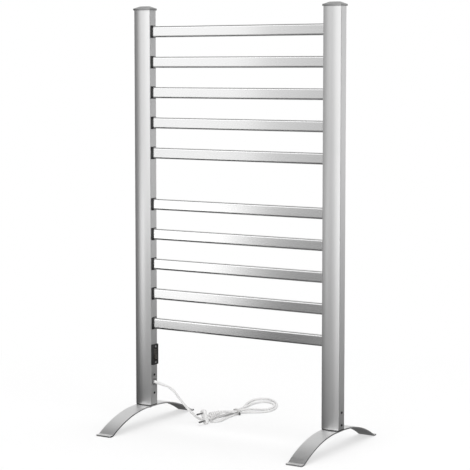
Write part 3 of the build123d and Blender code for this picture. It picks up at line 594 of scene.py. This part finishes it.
def studio(tree, direction, behind):
    """The studio's light in a direction: bright ahead, darker bands at the sides, behind and overhead."""
    split = tree.add("ShaderNodeSeparateXYZ")
    tree.join(direction, split.inputs[0])
    ahead = tree.math("MULTIPLY", split.outputs["Y"], -1.0)
    angle = tree.math("ARCTAN2", split.outputs["X"], ahead)
    stops = [(radians(where), level) for where, level in AROUND + behind]
    around = ramp(tree, angle, -pi, pi, stops)
    overhead = ramp(tree, split.outputs["Y"], -1.0, 1.0, OVERHEAD)
    share = tree.add("ShaderNodeMapRange", From_Min=OVERHEAD_FROM, From_Max=OVERHEAD_TO)
    tree.join(split.outputs["Z"], share.inputs["Value"])
    return tree.mix(share.outputs["Result"], around, overhead)


def straight_view(tree, rays):
    """1 for what the camera sees straight or through glass."""
    return tree.math("MAXIMUM", rays.outputs["Is Camera Ray"], rays.outputs["Is Transmission Ray"])


# ---------------------------------------------------------------- floor

FLOOR_REACH = 12.0
FLOOR_COLOUR = (0.95, 0.95, 0.95, 1.0)
WHITE = (1.0, 1.0, 1.0, 1.0)
# The floor turns white from one distance to the other, and by how much it is white at each.
WHITE_FROM = 0.4
WHITE_TO = 1.2
WHITE_NEAR = 0.6
WHITE_FAR = 1.0
# Metal sees the emitting floor brighter with distance, by this power of its share of the reach: the
# dimmer glow near the object is painted shade round its feet.
NEAR_SHADE_GLOW_POWER = 0.55


def floor_material():
    """Lit and shadowed near the object, white further off, and in metal the studio's lower half: an
    emitting floor, dimmed near the object as painted shade.
    """
    shader = Shader("floor")
    shader.tree.nodes.remove(shader.bsdf)
    length = shader.add("ShaderNodeVectorMath")
    length.operation = "LENGTH"
    shader.join(shader.place, length.inputs[0])
    distance = length.outputs["Value"]
    lit = shader.add("ShaderNodeBsdfDiffuse", Color=FLOOR_COLOUR)
    backdrop = shader.add("ShaderNodeEmission", Color=WHITE, Strength=1.0)
    to_white = shader.add(
        "ShaderNodeMapRange", From_Min=WHITE_FROM, From_Max=WHITE_TO, To_Min=WHITE_NEAR, To_Max=WHITE_FAR
    )
    shader.join(distance, to_white.inputs["Value"])
    seen = shader.choose(to_white.outputs["Result"], lit, backdrop)
    glow = shader.add("ShaderNodeEmission")
    shader.join(studio(shader, shader.place, FLOOR_BEHIND), glow.inputs["Color"])
    # The glow's strength rises from nothing at the object: painted shade near its feet in metal, studio
    # light further off.
    far_share = shader.math("DIVIDE", distance, FLOOR_REACH)
    shader.join(shader.math("POWER", far_share, NEAR_SHADE_GLOW_POWER), glow.inputs["Strength"])
    rays = shader.add("ShaderNodeLightPath")
    bounced = shader.choose(rays.outputs["Is Glossy Ray"], lit, glow)
    look = shader.choose(straight_view(shader, rays), bounced, seen)
    shader.join(look.outputs[0], shader.tree.nodes["Material Output"].inputs["Surface"])
    return shader.material


corners = ((-1, -1), (1, -1), (1, 1), (-1, 1))
floor_mesh = bpy.data.meshes.new("floor")
floor_mesh.from_pydata([(x * FLOOR_REACH, y * FLOOR_REACH, 0.0) for x, y in corners], [], [(0, 1, 2, 3)])
floor_mesh.materials.append(floor_material())
floor = bpy.data.objects.new("floor", floor_mesh)
SCENE.collection.objects.link(floor)


# ---------------------------------------------------------------- world

EVEN_LIGHT = 0.6

world = bpy.data.worlds.new("studio")
world.use_nodes = True
SCENE.world = world
sky = Tree(world.node_tree)
sky.tree.nodes.clear()
bearing = sky.add("ShaderNodeTexCoord").outputs["Generated"]
around_object = sky.add("ShaderNodeBackground")
sky.join(studio(sky, bearing, WALL_BEHIND), around_object.inputs["Color"])
even = sky.add("ShaderNodeBackground", Color=WHITE, Strength=EVEN_LIGHT)
white = sky.add("ShaderNodeBackground", Color=WHITE)
sky_rays = sky.add("ShaderNodeLightPath")
reflected = sky.choose(sky_rays.outputs["Is Glossy Ray"], even, around_object)
sky_look = sky.choose(straight_view(sky, sky_rays), reflected, white)
sky.join(sky_look.outputs[0], sky.add("ShaderNodeOutputWorld").inputs["Surface"])


# ---------------------------------------------------------------- lamps

# Place, target, width, height, power, spread in degrees, and whether metal reflects it.
LAMPS = {
    "left_softbox": ((-1.05, -1.15, 0.14), (-0.32, 0.0, 0.30), 0.60, 0.5, 0.065, 50.0, True),
    "upper_softbox": ((-0.47, -0.50, 0.85), (-0.24, 0.0, 0.80), 0.40, 0.9, 0.11, 120.0, True),
    "right_softbox": ((0.55, -1.50, 0.25), (0.27, 0.0, 0.20), 0.50, 0.6, 0.12, 50.0, True),
    "front_lamp": ((0.2, -4.0, 1.8), (0.0, 0.0, 0.45), 3.0, 3.0, 36.0, 180.0, False),
    "right_lamp": ((3.2, -1.0, 1.5), (0.0, 0.0, 0.45), 2.4, 2.4, 16.0, 180.0, False),
    "top_lamp": ((0.2, 0.1, 3.5), (0.0, 0.0, 0.45), 3.0, 3.0, 60.0, 180.0, False),
}
for name, (place, target, width, height, power, spread, in_metal) in LAMPS.items():
    data = bpy.data.lights.new(name, "AREA")
    data.shape = "RECTANGLE"
    data.size = width
    data.size_y = height
    data.energy = power
    data.spread = radians(spread)
    lamp = bpy.data.objects.new(name, data)
    lamp.location = place
    lamp.rotation_euler = (Vector(target) - Vector(place)).to_track_quat("-Z", "Y").to_euler()
    lamp.visible_glossy = in_metal
    lamp.visible_camera = False
    SCENE.collection.objects.link(lamp)
